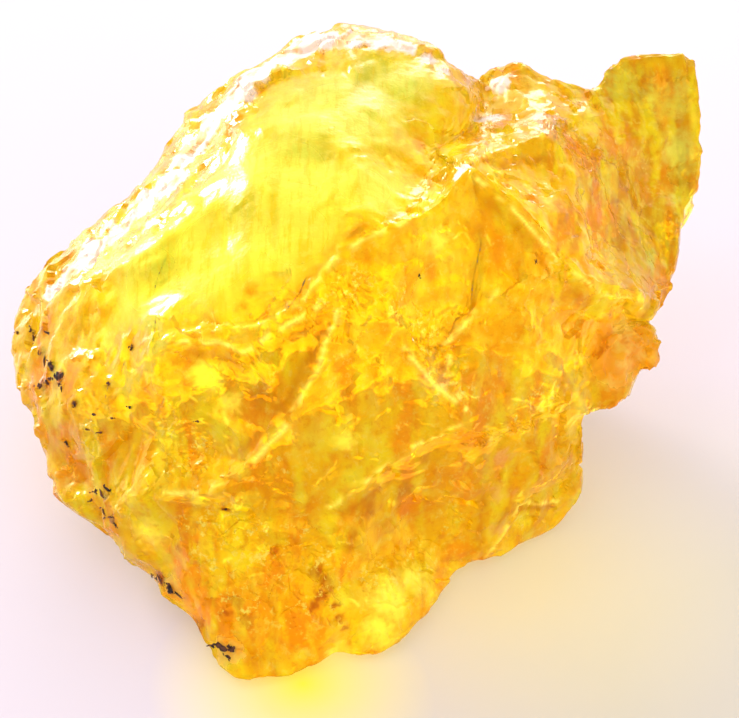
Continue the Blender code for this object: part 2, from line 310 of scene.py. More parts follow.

# %% Ridges, and the lines of painted shade beside them
RIDGES = {  # lines drawn through (across, down)
    "upper crest": ((185, 334), (265, 324), (301, 301), (329, 265), (365, 237), (400, 225), (440, 196)),
    "lower crest": ((179, 342), (219, 342), (245, 352), (281, 329), (319, 306)),
    "rib": ((337, 311), (317, 372), (283, 428), (250, 465), (208, 493), (166, 493)),
    "shelf": ((460, 426), (415, 445), (373, 476), (331, 507)),
    "hook": ((497, 292), (471, 316), (447, 343), (450, 367), (461, 402)),
    "peak": ((461, 166), (510, 205), (560, 260), (600, 292), (640, 300)),
    "saddle": ((461, 166), (509, 146), (541, 138)),
    "heel": ((488, 555), (521, 504), (565, 498)),
    "wedge": ((404, 348), (435, 385), (466, 410)),
}
# Painted shade: the colour is darkened along these lines, under and beside the ridges.
SHADE_LINES = {
    "under the crest": ((190, 352), (245, 364), (285, 343), (322, 317)),
    "above the crest": ((300, 290), (326, 256), (362, 226)),
    "beside the rib": ((322, 330), (303, 372), (270, 422), (238, 455)),
    "under the shelf": ((462, 442), (418, 462), (378, 492), (345, 515)),
    "beside the hook": ((484, 296), (462, 318), (438, 350), (442, 375)),
    "brown line": ((479, 230), (481, 245), (478, 257), (473, 280), (471, 305)),
    "under the peak": ((475, 190), (512, 222), (548, 270), (585, 302)),
    "saddle foot": ((462, 150), (500, 165), (545, 160)),
    "wedge": ((387, 473), (368, 512), (350, 548)),
    "heel": ((470, 560), (508, 512), (550, 505)),
    "column": ((484, 440), (484, 500), (478, 540)),
}
print(len(RIDGES), "ridges; the rib has", len(line_on_skin(*RIDGES["rib"])), "marks")
print("hollows:", ", ".join(SHADE_LINES))

# %% Turn the places into masks
BREAK_SIZE = 0.9  # mm
SHADE_LOOK = {"half": 0.5, "wander": 0.4, "base": 0.7, "swing": 1.2}
RIDGE_LOOK = {"half": 0.22, "wander": 0.25, "base": 0.5, "swing": 2.2}


def along_lines(reach, broken, half, wander, base, swing):
    """1 on a drawn line, falling away over half mm; the broken noise frays it and cuts it into pieces."""
    return np.exp(-(((reach + wander * broken) / half) ** 2)) * np.clip(base + swing * broken, 0, 1)


def masks_of(points):
    broken = noise_at(points, BREAK_SIZE)
    crusted = patch(points, *CRUST_AND_GLARE, soft=0.25, ragged=0.35)
    return {
        "crust": crusted * (1 - patch(points, *CLEAR_GAPS, ragged=0.3)),
        "weathered": patch(points, *WEATHERED, soft=0.4, ragged=0.4),
        "dome": patch(points, *DOME, soft=0.6),
        "crumble": patch(points, *CRUMBLE, soft=0.8),
        "gathered": patch(points, *PAINTED_GLOW_SPOTS, soft=0.9, ragged=0.6),
        "hollow": along_lines(reach_of(points, SHADE_LINES.values()), broken, **SHADE_LOOK),
        "ridge": along_lines(reach_of(points, RIDGES.values()), broken, **RIDGE_LOOK),
    }


masks = masks_of(points)
for name, mask in masks.items():
    print(name, "covers", round(float(mask.mean()) * 100, 1), "% of the points")

# %% [markdown]
# ## Finer where it matters
# Another even refinement would make four times as many triangles everywhere. Ridges, crumbled places and
# the crust need the detail, and the smooth faces do not. So only the triangles that need it most are split,
# and their neighbours are split in two or three so that the skin stays closed.

# %% More points where the detail is finest
def split_some(points, faces, chosen):
    """Splits the chosen triangles in four, and their neighbours so that no gap opens."""
    ends, _, _, edges_of = edge_table(faces)
    cut = np.zeros(len(ends), bool)
    cut[edges_of[chosen].ravel()] = True
    number = np.full(len(ends), -1)
    number[cut] = len(points) + np.arange(cut.sum())
    points = np.concatenate([points, (points[ends[cut, 0]] + points[ends[cut, 1]]) / 2])
    m = number[edges_of]
    cuts = (m >= 0).sum(1)
    out = [faces[cuts == 0]]
    for k in range(3):
        v, n = np.roll(faces, -k, axis=1), np.roll(m, -k, axis=1)
        one = (cuts == 1) & (n[:, 0] >= 0)
        for tri in ((v[:, 0], n[:, 0], v[:, 2]), (n[:, 0], v[:, 1], v[:, 2])):
            out.append(np.stack(tri, 1)[one])
        two = (cuts == 2) & (n[:, 2] < 0)
        for tri in ((n[:, 0], v[:, 1], n[:, 1]), (v[:, 0], n[:, 0], n[:, 1]), (v[:, 0], n[:, 1], v[:, 2])):
            out.append(np.stack(tri, 1)[two])
    whole = cuts == 3
    v, n = faces[whole], m[whole]
    for tri in ((v[:, 0], n[:, 0], n[:, 2]), (v[:, 1], n[:, 1], n[:, 0]), (v[:, 2], n[:, 2], n[:, 1])):
        out.append(np.stack(tri, 1))
    out.append(n)
    return points, np.concatenate(out)


FINE_FACES = 14500
CRUMBLE_NEED, CRUST_NEED = 0.7, 0.3
need = np.maximum(masks["ridge"], CRUMBLE_NEED * masks["crumble"])[faces].mean(1)
need += CRUST_NEED * masks["crust"][faces].mean(1)
chosen = np.zeros(len(faces), bool)
chosen[np.argsort(-need, kind="stable")[:FINE_FACES]] = True
points, faces = split_some(points, faces, chosen)
masks = masks_of(points)
normals = point_normals(points, faces)
print("skin with its fine places:", len(points), "points,", len(faces), "triangles")

# %% [markdown]
# ## Breaking the skin
# Resin has no grain, so it breaks in shallow shells with sharp rims, and small flakes spring off along every
# rim. Here each cell of a Voronoi pattern gets its own slight tilt, which makes shells with little steps
# between them, and rings of ripples spread from every blow. They are worked into the points, because a bump
# in the material has no outline and casts no shadow.

# %% Shells and grain
BROKEN = ((4.2, 0.18), (2.0, 0.27), (1.1, 0.22))  # shell size in mm, tilt
SEED_SHIFT = Vector((3.1, 7.7, 1.9))
SHELL_BEND, BEND_WAVES, LEAN_WAVES = 0.35, 0.9, 5.3


def shells(point, size, tilt):
    """Height of tilted Voronoi cells of a size in mm, in mm."""
    q = point / (size * MM) + SEED_SHIFT
    q += noise.noise_vector(q * BEND_WAVES) * SHELL_BEND
    _, centres = noise.voronoi(q)
    lean = noise.noise_vector(centres[0] * LEAN_WAVES)
    return (q - centres[0]).dot(lean) * tilt * size


def grain(point, size):
    """Smooth noise of a size in mm, between about -1 and 1."""
    return noise.noise(point / (size * MM) + SEED_SHIFT)


print("the widest shell at the crest stands", round(shells(on_skin(*CREST)[0], *BROKEN[0]), 2), "mm")

# %% Ripples around the points of a blow
RIPPLES = (  # across and down of the blow, first and last radius, spacing and height in mm
    (196, 451, 0.5, 2.9, 0.55, 0.035),
    (470, 430, 2.0, 5.0, 0.45, 0.02),
    (150, 380, 3.0, 7.0, 1.1, 0.03),
    (330, 150, 3.0, 14.0, 1.9, 0.012),
    (560, 330, 2.0, 7.0, 1.2, 0.03),
)
RING_WANDER, RING_WANDER_SIZE = 0.5, 2.5  # mm
spread_from = [(Vector(on_skin(a, d)[0]), *rest) for a, d, *rest in RIPPLES]


def ripples(point):
    """Height of the rings around every blow that reach a point, in mm."""
    lift = 0.0
    for centre, first, last, spacing, height in spread_from:
        r = (point - centre).length / MM
        if first < r < last:
            window = min(1.0, (r - first) / spacing, (last - r) / spacing)
            r += RING_WANDER * grain(point, RING_WANDER_SIZE)
            lift += height * window * np.sin(2 * np.pi * r / spacing)
    return lift


print("blows with ripples:", len(spread_from))

# %% How far each point is raised
CRUST_GRAIN = ((0.6, 0.12), (1.8, 0.14))  # size and height in mm
RIND_GRAIN = ((0.5, 0.16), (1.0, 0.16))
CRUMBLE_SHELL, RIND_SHELL = (0.8, 0.4), (1.1, 0.3)
DOME_CALM = 0.8  # the share of the shells that the smooth dome is spared
TRACE = 0.01  # a mask below this changes nothing
RIDGE_REACH, RIDGE_HEIGHT, RIDGE_FOOT = 1.5, 0.15, 0.5
RIDGE_WANDER, RIDGE_WANDER_SIZE = 0.5, 0.9
RIDGE_LOW, RIDGE_SWING, RIDGE_SWING_SIZE = 0.4, 2.0, 1.1
reach = reach_of(points, RIDGES.values())


def lift_at(i):
    """The height in mm that point number i gets from every kind of damage that reaches it."""
    p = Vector(points[i])
    crusted, weathered, crumbled = masks["crust"][i], masks["weathered"][i], masks["crumble"][i]
    lift = sum(shells(p, size, tilt) for size, tilt in BROKEN) * (1 - DOME_CALM * masks["dome"][i])
    lift += ripples(p) * (1 - crusted)
    if crumbled > TRACE:
        lift += crumbled * shells(p, *CRUMBLE_SHELL)
    if crusted > TRACE:
        lift += crusted * sum(grain(p, size) * height for size, height in CRUST_GRAIN)
    if weathered > TRACE:
        lift += weathered * sum(grain(p, size) * height for size, height in RIND_GRAIN)
        lift += weathered * shells(p, *RIND_SHELL)
    if reach[i] < RIDGE_REACH:
        jagged = reach[i] + RIDGE_WANDER * grain(p, RIDGE_WANDER_SIZE)
        uneven = RIDGE_LOW + RIDGE_SWING * abs(grain(p, RIDGE_SWING_SIZE))
        lift += RIDGE_HEIGHT * max(0.0, 1 - abs(jagged) / RIDGE_FOOT) * uneven
    return lift


raised = np.zeros(len(points))
for i in np.nonzero(points[:, 2] >= BASE_HEIGHT)[0]:
    raised[i] = lift_at(i)
print("raised by", raised.min().round(2), "to", raised.max().round(2), "mm")

# %% Ease the steps a little and move the points
OWN_SHARE = 0.7  # the rest of a point's height is the mean of its neighbours'
FADE_HEIGHT = 1.0  # mm above the table over which the damage sets in
ends = edge_table(faces)[0]
around, count = np.zeros(len(points)), np.zeros(len(points))
for one, other in ((0, 1), (1, 0)):
    np.add.at(around, ends[:, one], raised[ends[:, other]])
    np.add.at(count, ends[:, one], 1)
raised = OWN_SHARE * raised + (1 - OWN_SHARE) * around / count
fade = np.clip(points[:, 2] / (FADE_HEIGHT * MM), 0, 1)
points = points + normals * (raised * fade * MM)[:, None]
skin_tree = BVHTree.FromPolygons(points.tolist(), faces.tolist())
print("the broken skin now reaches up to", round(points[:, 2].max() / MM, 2), "mm")

# %% [markdown]
# ## Colour in broad zones
# Amber is not one yellow. It is lime where the resin is milky and deep orange where it is thick or old.
# A darker orange in the hollows is painted shade, and bright yellow where light comes through is painted
# glow.
# An image could carry this, but colour worked out at each point needs no picture file and follows the shape.
# The zones come first, each with a torn rim, over an even golden ground.

# %% Zones of colour
GOLDEN = (1.0, 0.62, 0.005)
ZONE_RAGGED = 0.7
ZONES = (  # name, colour, softness, patches
    ("lime dome", (0.70, 0.84, 0.07), 0.6, DOME),
    ("golden rim", (0.98, 0.88, 0.03), 0.8, ((430, 120, 2.6), (445, 160, 2.4), (400, 60, 2.0))),
    ("orange face", (1.0, 0.50, 0.004), 0.8, (
        (540, 270, 6.0), (560, 330, 5.0), (500, 330, 3.5), (480, 230, 3.0))),
    ("brown lobe", (0.66, 0.31, 0.004), 0.5, (
        (640, 130, 6.5), (610, 200, 6.0), (660, 200, 6.0), (560, 130, 3.5), (580, 230, 3.5))),
    ("lime horn", (0.80, 0.84, 0.10), 0.8, (
        (665, 100, 2.8), (620, 85, 2.0), (680, 150, 2.4), (675, 200, 2.0), (650, 260, 2.0))),
    ("orange foot", (1.0, 0.34, 0.003), 0.7, (
        (240, 620, 4.0), (200, 600, 3.2), (300, 630, 3.0), (180, 560, 2.4), (270, 575, 2.0))),
    ("orange left", (1.0, 0.36, 0.004), 0.7, (
        (40, 330, 2.6), (40, 380, 3.0), (60, 430, 2.6), (75, 470, 2.6), (60, 272, 2.0))),
    # Painted glow: bright yellow where light comes through the hollows.
    ("yellow hollow", (1.0, 0.92, 0.02), 0.9, (
        (200, 385, 3.2), (225, 425, 2.4), (120, 360, 3.0), (140, 420, 3.0), (150, 520, 2.6),
        (340, 440, 2.4), (345, 500, 2.2), (430, 240, 4.0))),
    # Painted shade: a darker orange in the hollows.
    ("orange hollow", (0.92, 0.40, 0.0), 0.9, (
        (265, 400, 3.0), (410, 510, 4.0), (440, 480, 3.0), (300, 510, 2.4), (190, 500, 2.0),
        (120, 430, 2.0), (380, 380, 2.6))),
    ("pink facets", (1.0, 0.55, 0.16), 0.6, (
        (436, 378, 1.6), (500, 460, 1.2), (500, 490, 1.2), (500, 525, 1.2), (625, 355, 2.6))),
)


def lay_over(tint, share, colour):
    """The colours with a share of another colour laid over them."""
    return tint * (1 - share) + np.array(colour) * share


def lay_patches(tint, table, share, ragged):
    """The colours with every row of a table laid over them."""
    for name, colour, soft, spots in table:
        cover = patch(points, *spots, soft=soft, ragged=ragged)[:, None]
        tint = lay_over(tint, share * cover, colour)
        print(name, "covers", round(float(cover.mean()) * 100, 1), "%")
    return tint


tint = lay_patches(np.tile(GOLDEN, (len(points), 1)), ZONES, 1.0, ZONE_RAGGED)

# %% [markdown]
# ## Clouds through the zones
# The resin flowed in pulses, and each trapped a little more or less air and dust, so its colour drifts in
# soft clouds. A noise texture in the material would be worked out again for every ray. Worked out once at
# each point, the same clouds cost nothing while the picture renders.

# %% Clouds drifting through the zones
CLOUD_FRACTAL = (0.9, 2.1, 5)  # how fast the finer layers fade, how much finer each is, how many there are


def clouds(size, shift, first, last, stretch=(1, 1, 1)):
    """0 to 1 at each point: where a fractal noise of a size in mm rises from first to last."""
    places = points / (size * MM) * np.array(stretch) + shift
    raw = np.array([noise.fractal(Vector(p), *CLOUD_FRACTAL) for p in places])
    return np.clip((raw - first) / (last - first), 0, 1)[:, None]


body = 1 - masks["dome"][:, None]
CLOUDS = (  # strength, where, cloud, colour
    (0.75, body, clouds(3.6, 3.0, 0.0, 0.55, (1.7, 0.8, 0.6)), (1.0, 0.30, 0.002)),
    (0.8, body, clouds(2.4, 11.0, 0.05, 0.5, (1.9, 0.7, 0.6)), (1.0, 0.90, 0.012)),
    (0.6, body, clouds(1.4, 17.0, 0.15, 0.6, (2.0, 0.7, 0.6)), (0.85, 0.30, 0.0)),
    (0.7, 1 - body, clouds(2.6, 23.0, 0.05, 0.5, (1.8, 0.5, 1.0)), (0.50, 0.52, 0.008)),
)
for strength, where, cloud, colour in CLOUDS:
    tint = lay_over(tint, strength * where * cloud, colour)
print("mean tint with clouds:", tint.mean(0).round(3))

# %% [markdown]
# ## Painted windows, painted shade and stains
# Here and there a face lets the light straight through like a bright window, and that light is painted in as
# bright yellow patches of painted glow. The deepest hollows get painted shade, and iron and bark have left
# rusty stains along the cracks. Noise would scatter them anywhere. They are small and have their places, so
# each is a patch of its own, laid over the clouds.

# %% Painted bright windows, painted shade and stains over the clouds
MARK_SHARE, MARK_RAGGED = 0.9, 0.25
MARKS = (  # name, colour, softness, patches
    ("lime wedge", (0.66, 0.82, 0.04), 0.8, (
        (190, 200, 1.6), (178, 225, 2.2), (165, 255, 2.6), (150, 285, 2.6), (155, 315, 2.2),
        (160, 340, 1.6))),
    # Painted glow: a bright yellow window at the foot.
    ("painted glow at the foot", (1.0, 0.95, 0.05), 0.9, (
        (390, 600, 2.6), (380, 630, 2.0), (412, 580, 2.0), (340, 600, 1.2), (300, 655, 0.9))),
    # Painted glints: small bright yellow flakes.
    ("painted glints, yellow", (1.0, 0.93, 0.03), 0.8, (
        (205, 375, 1.6), (228, 400, 1.2), (222, 432, 1.4), (170, 440, 1.2), (150, 530, 1.6), (130, 500, 1.2),
        (345, 440, 1.2), (352, 478, 1.2), (200, 500, 1.0), (235, 560, 1.0), (300, 500, 0.8), (520, 520, 1.2),
        (440, 240, 1.6), (420, 285, 1.2), (545, 405, 0.8), (590, 180, 0.8))),
    # Painted shade: dark in the deepest hollows.
    ("dark hollow", (0.60, 0.24, 0.0), 0.9, (
        (262, 395, 1.5), (250, 290, 0.9), (242, 305, 0.6), (405, 490, 1.2), (368, 512, 1.2), (357, 540, 0.8),
        (385, 165, 0.6), (470, 165, 0.7))),
    ("bark stain", (0.20, 0.05, 0.01), 0.5, (
        (33, 336, 0.5), (44, 352, 0.5), (52, 366, 0.6), (60, 377, 0.7), (42, 386, 0.5), (74, 404, 0.4),
        (109, 384, 0.35), (132, 348, 0.35), (104, 494, 0.5), (112, 518, 0.4), (162, 580, 0.6),
        (173, 591, 0.6), (226, 650, 0.9))),
    ("iron stain", (0.44, 0.06, 0.0), 0.8, (
        (316, 572, 0.9), (328, 582, 1.0), (322, 596, 0.8), (334, 606, 0.5), (339, 618, 0.5), (344, 628, 0.4),
        (314, 606, 0.5), (236, 600, 0.8), (246, 622, 0.8), (226, 612, 0.6), (178, 548, 0.6), (43, 384, 0.9),
        (57, 378, 1.0), (40, 332, 0.7), (275, 548, 0.5), (226, 509, 0.4), (160, 578, 0.9), (172, 590, 0.9),
        (200, 625, 0.7))),
)
tint = lay_patches(tint, MARKS, MARK_SHARE, MARK_RAGGED)

# %% [markdown]
# ## The skin becomes an object
# So far the skin is only arrays of numbers. Here it becomes one closed mesh, smooth except at crisp edges.
# The masks and the colour travel with it as attributes, which the material reads by name, so that no picture
# has to be wrapped round it. The bare solid is hidden, and the skin stands for it.

# %% The skin as an object
skin_mesh = bpy.data.meshes.new("amber_skin")
skin_mesh.from_pydata(points.tolist(), [], faces.tolist())
skin_mesh.update()
skin_mesh.shade_smooth()
skin_mesh.set_sharp_from_angle(angle=np.radians(CRISP_ANGLE))
for name, mask in masks.items():
    layer = skin_mesh.attributes.new(name, "FLOAT", "POINT")
    layer.data.foreach_set("value", mask.astype(np.float32))
layer = skin_mesh.attributes.new("tint", "FLOAT_COLOR", "POINT")
layer.data.foreach_set("color", np.column_stack([tint, np.ones(len(tint))]).astype(np.float32).ravel())
amber_skin = set_up("amber_skin", skin_mesh)
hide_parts("amber_piece")
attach(amber_skin, "root")
print("skin:", len(skin_mesh.polygons), "triangles, with", ", ".join(masks), "and tint")

# %% [markdown]
# ## Words for a recipe
# A finish in Blender is a tree of nodes, and the same few come back in each one: read a mask, mix two
# colours, rescale a value, make a noise. They could be wired by hand in the editor. With a short name for
# each, a page of wiring becomes a recipe that can be read line by line.

# %% Short names for the nodes
# A Mix node has its sockets A and B several times, so they are taken by number.
VALUE_A, VALUE_B, VALUE_OUT = 2, 3, 0
COLOUR_A, COLOUR_B, COLOUR_OUT = 6, 7, 2


class Recipe:
    """Adds nodes to one node tree. Every word returns a socket that the next one can take."""

    def __init__(self, tree):
        self.nodes, self.links = tree.nodes, tree.links

    def put(self, socket, value):
        """Links a socket to another, or sets it."""
        if hasattr(value, "is_linked"):
            self.links.new(value, socket)
        else:
            socket.default_value = value

    def node(self, kind, output, sockets, **settings):
        """One output of a new node, with its sockets linked or set."""
        made = self.nodes.new("ShaderNode" + kind)
        for name, value in settings.items():
            setattr(made, name, value)
        for name, value in sockets.items():
            self.put(made.inputs[name], value)
        return made.outputs[output]

    def painted(self, name, output="Fac"):
        """A mask or colour that the mesh carries."""
        return self.node("Attribute", output, {}, attribute_name=name)

    def mix(self, share, ground, over):
        """A ground colour with a share of another over it."""
        sockets = {"Factor": share, COLOUR_A: ground, COLOUR_B: over}
        return self.node("Mix", COLOUR_OUT, sockets, data_type="RGBA")

    def sum_of(self, a, b, operation="ADD"):
        """Two values added, or joined by another operation."""
        return self.node("Math", "Value", {0: a, 1: b}, operation=operation)

    def rescale(self, value, low, high, over=(0.0, 1.0)):
        """A value that runs over a range, moved to run from low to high."""
        sockets = {"Value": value, "From Min": over[0], "From Max": over[1], "To Min": low, "To Max": high}
        return self.node("MapRange", "Result", sockets)

    def cloudy(self, waves, detail, stretch=(1, 1, 1), turn=(0, 0, 0), rough=0.5):
        """Noise fixed to the object, so many waves to the metre, drawn out along an axis by stretch."""
        place = self.node("TexCoord", "Object", {})
        place = self.node("Mapping", "Vector", {"Vector": place, "Scale": stretch, "Rotation": turn})
        sockets = {"Vector": place, "Scale": waves, "Detail": detail, "Roughness": rough}
        return self.node("TexNoise", "Fac", sockets)


def new_finish(name):
    """A new material, the recipe for its nodes, and its shader."""
    material = bpy.data.materials.new(name)
    material.use_nodes = True
    recipe = Recipe(material.node_tree)
    return material, recipe, recipe.nodes["Principled BSDF"]


print("words:", ", ".join(word for word in vars(Recipe) if not word.startswith("_")))

# %% [markdown]
# ## Clear amber
# Amber bends light a little more than glass and soaks up blue first, then green. So the material is one
# Principled shader with amber's index of refraction, over a volume that absorbs by colour with depth. Raw
# amber is turbid as well, so only part of the light goes through and the rest is scattered near the skin. A
# milky volume would scatter truly but slowly, and the partly clear skin looks much the same.

# %% Clear amber
AMBER_IOR = 1.54
DEPTH_COLOUR = (0.998, 0.93, 0.0, 1.0)
DEPTH_DENSITY = 80.0  # to the metre
amber, resin, shader = new_finish("clear_amber")
shader.inputs["IOR"].default_value = AMBER_IOR
shader.inputs["Specular IOR Level"].default_value = 0.2
shader.inputs["Specular Tint"].default_value = (1.0, 0.80, 0.12, 1.0)
depth = resin.node("VolumeAbsorption", "Volume", {"Color": DEPTH_COLOUR, "Density": DEPTH_DENSITY})
resin.put(resin.nodes["Material Output"].inputs["Volume"], depth)
skin_mesh.materials.append(amber)
crust_at, dome_at = resin.painted("crust"), resin.painted("dome")
ridge_at, crumble_at = resin.painted("ridge"), resin.painted("crumble")
weather_at, hollow_at = resin.painted("weathered"), resin.painted("hollow")
painted_glow_at = resin.painted("gathered")
print("amber bends light by", AMBER_IOR, "and its deeper colour is", DEPTH_COLOUR[:3])

# %% [markdown]
# ## Fibres and grains in the colour
# Close up, the colour is drawn out in fine fibres along the old flow, most of all in the milky dome, and
# peppered with pale flecks and darker grains. The mesh's points are too far apart for that, so this finest
# layer is noise in the material. A stretched noise makes fibres, and a rough round one makes grains.

# %% Fibres
FIBRE_YELLOW = (1.0, 0.92, 0.05, 1.0)
COMBED_OLIVE = (0.68, 0.60, 0.006, 1.0)
FIBRE_SHARE, COMBED_SHARE = 0.6, 0.7
streaks = resin.cloudy(waves=520.0, detail=4.0, stretch=(1.6, 0.35, 1.0), turn=(0, 0, 0.7))
streaks = resin.rescale(streaks, 0.0, FIBRE_SHARE, over=(0.50, 0.70))
fibres = resin.mix(streaks, resin.painted("tint", "Color"), FIBRE_YELLOW)
combed = resin.cloudy(waves=1100.0, detail=3.0, stretch=(2.2, 0.35, 0.6), turn=(0, 0, -0.5), rough=0.65)
combed = resin.rescale(combed, 0.0, COMBED_SHARE, over=(0.48, 0.64))
fibres = resin.mix(resin.sum_of(combed, dome_at, "MULTIPLY"), fibres, COMBED_OLIVE)
print("nodes with the fibres:", len(resin.nodes))

# %% Pale flecks, dark grains and painted shade along the lines
PALE_FLECK = (1.0, 0.95, 0.16, 1.0)
DARK_GRAIN = (0.75, 0.24, 0.0, 1.0)
PAINTED_SHADE_BROWN = (0.62, 0.20, 0.0, 1.0)
FRESH_PALE, DARK_SHARE, PAINTED_SHADE_SHARE = 0.30, 0.35, 0.85
grain_at = resin.cloudy(waves=1200.0, detail=3.0, rough=0.75)
pale = resin.rescale(grain_at, 0.0, 1.0, over=(0.55, 0.66))
pale = resin.sum_of(pale, resin.rescale(crumble_at, FRESH_PALE, 1.0), "MULTIPLY")
dark = resin.rescale(grain_at, DARK_SHARE, 0.0, over=(0.34, 0.45))
dark = resin.sum_of(dark, resin.rescale(dome_at, 1.0, 0.0), "MULTIPLY")
flecked = resin.mix(pale, fibres, PALE_FLECK)
flecked = resin.mix(dark, flecked, DARK_GRAIN)
# Painted shade: the colour turns brown along the shade lines.
flecked = resin.mix(resin.rescale(hollow_at, 0.0, PAINTED_SHADE_SHARE), flecked, PAINTED_SHADE_BROWN)
print("nodes with the grains:", len(resin.nodes))

# %% [markdown]
# ## Crust, rind and ridges
# Where the old outside is left, a dry white crust peels over pinkish resin, or a dull orange rind has grown.
# The crust's white is also a painted glare, where the low window rakes over the far rim and a few spots on
# top.
# Fresh ridges are painted pale yellow, a painted highlight for the light that catches in their chips. All
# three take their place from a mask. An even coat would look sprayed on, so crust and rind each mix a pair
# of colours by one patchy noise.

# %% Crust with painted glare, rind, and painted ridge highlights in the colour
PEEL_PINK, PEEL_AND_GLARE_WHITE = (1.0, 0.60, 0.30, 1.0), (1.0, 0.92, 0.90, 1.0)
RIND_ORANGE, RIND_PALE = (0.95, 0.34, 0.01, 1.0), (1.0, 0.66, 0.12, 1.0)
RIDGE_HIGHLIGHT_YELLOW = (1.0, 0.92, 0.16, 1.0)
PEEL_GLARE_SHARE, RIND_SHARE = 0.9, 0.8
patchy = resin.cloudy(waves=360.0, detail=4.0, rough=0.6)
# Painted glare: the white of the peel stands partly for the low window's glare on the crust.
peel_and_glare = resin.mix(resin.rescale(patchy, 0.0, 1.0, over=(0.38, 0.48)), PEEL_PINK, PEEL_AND_GLARE_WHITE)
zoned = resin.mix(resin.rescale(crust_at, 0.0, PEEL_GLARE_SHARE), flecked, peel_and_glare)
rind = resin.mix(resin.rescale(patchy, 0.0, 1.0, over=(0.45, 0.58)), RIND_ORANGE, RIND_PALE)
zoned = resin.mix(resin.rescale(weather_at, 0.0, RIND_SHARE), zoned, rind)
# Painted highlight: the ridges are coloured pale yellow.
zoned = resin.mix(ridge_at, zoned, RIDGE_HIGHLIGHT_YELLOW)
resin.put(shader.inputs["Base Color"], zoned)
print("nodes with crust and rind:", len(resin.nodes))

# %% [markdown]
# ## Clearness, gloss and gathered light
# A fresh break is clear and glassy, while crust, rind and dome are duller and let less light through. Thin
# ridges and a few windows gather light from inside and seem to glow. Following it ray by ray would take very
# long, so a little light of their own stands for it. All of this is set by the masks, and a fine bump stands
# for wear too small for the mesh.

# %% How clear and how rough
CLEAR_SHARE, CRUST_CLEAR = 0.60, 0.30
LESS_CLEAR = ((ridge_at, 0.15), (weather_at, 0.15), (dome_at, 0.10))
GLASSY, CRUST_ROUGH, DOME_ROUGH, RIND_ROUGH = 0.14, 0.5, 0.28, 0.4
clear = resin.rescale(crust_at, CLEAR_SHARE, CRUST_CLEAR)
for mask_at, less in LESS_CLEAR:
    clear = resin.sum_of(clear, resin.rescale(mask_at, 0.0, less), "SUBTRACT")
resin.put(shader.inputs["Transmission Weight"], clear)
rough = resin.rescale(crust_at, GLASSY, CRUST_ROUGH)
for mask_at, full in ((dome_at, DOME_ROUGH), (weather_at, RIND_ROUGH)):
    rough = resin.sum_of(rough, resin.rescale(mask_at, GLASSY, full), "MAXIMUM")
resin.put(shader.inputs["Roughness"], rough)
print("clear share:", CLEAR_SHARE, "fresh and", CRUST_CLEAR, "under crust")

# %% Gathered light and fine bump
PAINTED_GLOW_COLOUR = (1.0, 0.82, 0.10, 1.0)
RIDGE_GLOW, WINDOW_GLOW = 0.45, 0.28
BUMP_SHARE, BUMP_DEPTH = 0.5, 0.08 * MM
shader.inputs["Emission Color"].default_value = PAINTED_GLOW_COLOUR
glow = resin.sum_of(
    resin.rescale(ridge_at, 0.0, RIDGE_GLOW), resin.rescale(painted_glow_at, 0.0, WINDOW_GLOW)
)
resin.put(shader.inputs["Emission Strength"], glow)
relief = resin.cloudy(waves=1500.0, detail=2.0, rough=0.7)
bump = resin.node("Bump", "Normal", {"Strength": BUMP_SHARE, "Distance": BUMP_DEPTH, "Height": relief})
resin.put(shader.inputs["Normal"], bump)
print("amber has", len(resin.nodes), "nodes")

# %% [markdown]
# ## What lies inside
# Amber is never empty. Small cracks opened by pressure shine like scales of foil, bark and soil are trapped
# as dark flecks, and hair cracks run under the skin. Painted on the skin, they would not shift against it as
# one looks around. So each is a thin closed flake set at its own depth.

# %% A flake, the brick of everything inside
FLAKE_SEED = 41
RIM_POINTS, RIM_WOBBLE, MIDDLE_BEND = 8, 0.45, 0.05
dice = np.random.default_rng(FLAKE_SEED)


class Flakes:
    """Gathers many small closed flakes into one mesh."""

    def __init__(self):
        self.points, self.faces = [], []

    def add(self, centre, along, facing, length, width, thick, bend=0.0):
        """A flake with its long way and its facing; length, width and thickness in mm."""
        along = (along - facing * along.dot(facing)).normalized()
        side = facing.cross(along)
        first = len(self.points)
        for k in range(RIM_POINTS):
            angle = 2 * np.pi * k / RIM_POINTS
            a, s = np.cos(angle) * length / 2, np.sin(angle) * width / 2
            wobble = 1 + RIM_WOBBLE * dice.uniform(-1, 1)
            spot = along * a * wobble + side * (s * wobble + bend * (a / length) ** 2 * length)
            self.points.append(centre + spot * MM)
        middle = side * bend * length * MIDDLE_BEND
        for half in (thick / 2, -thick / 2):
            self.points.append(centre + (middle + facing * half) * MM)
        top = first + RIM_POINTS
        for k in range(RIM_POINTS):
            here, after = first + k, first + (k + 1) % RIM_POINTS
            self.faces += [(here, after, top), (after, here, top + 1)]

    def piece(self, name, material):
        """One piece of all the flakes added, riding with the amber."""
        mesh = bpy.data.meshes.new(name)
        mesh.from_pydata([tuple(p) for p in self.points], [], self.faces)
        mesh.materials.append(material)
        mesh.update()
        made = set_up(name, mesh)
        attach(made, "root")
        print(name, "has", len(mesh.polygons), "triangles")


print("a flake has", 2 * RIM_POINTS, "triangles")

# %% Where a flake lies and how it leans
def inside(across, down, depth):
    """A point of the amber, depth mm under a place of the grid, and which way the skin faces there."""
    place, facing = on_skin(across, down)
    return place - facing * depth * MM, facing


def spin(facing, tilt):
    """A flake's facing and its long way: the skin's facing leaned by up to tilt, and a random tangent."""
    tangent = facing.orthogonal().normalized()
    tangent.rotate(Quaternion(facing, dice.uniform(0, 2 * np.pi)))
    leaning = facing.copy()
    leaning.rotate(Quaternion(tangent, np.radians(dice.uniform(-tilt, tilt))))
    return leaning, tangent


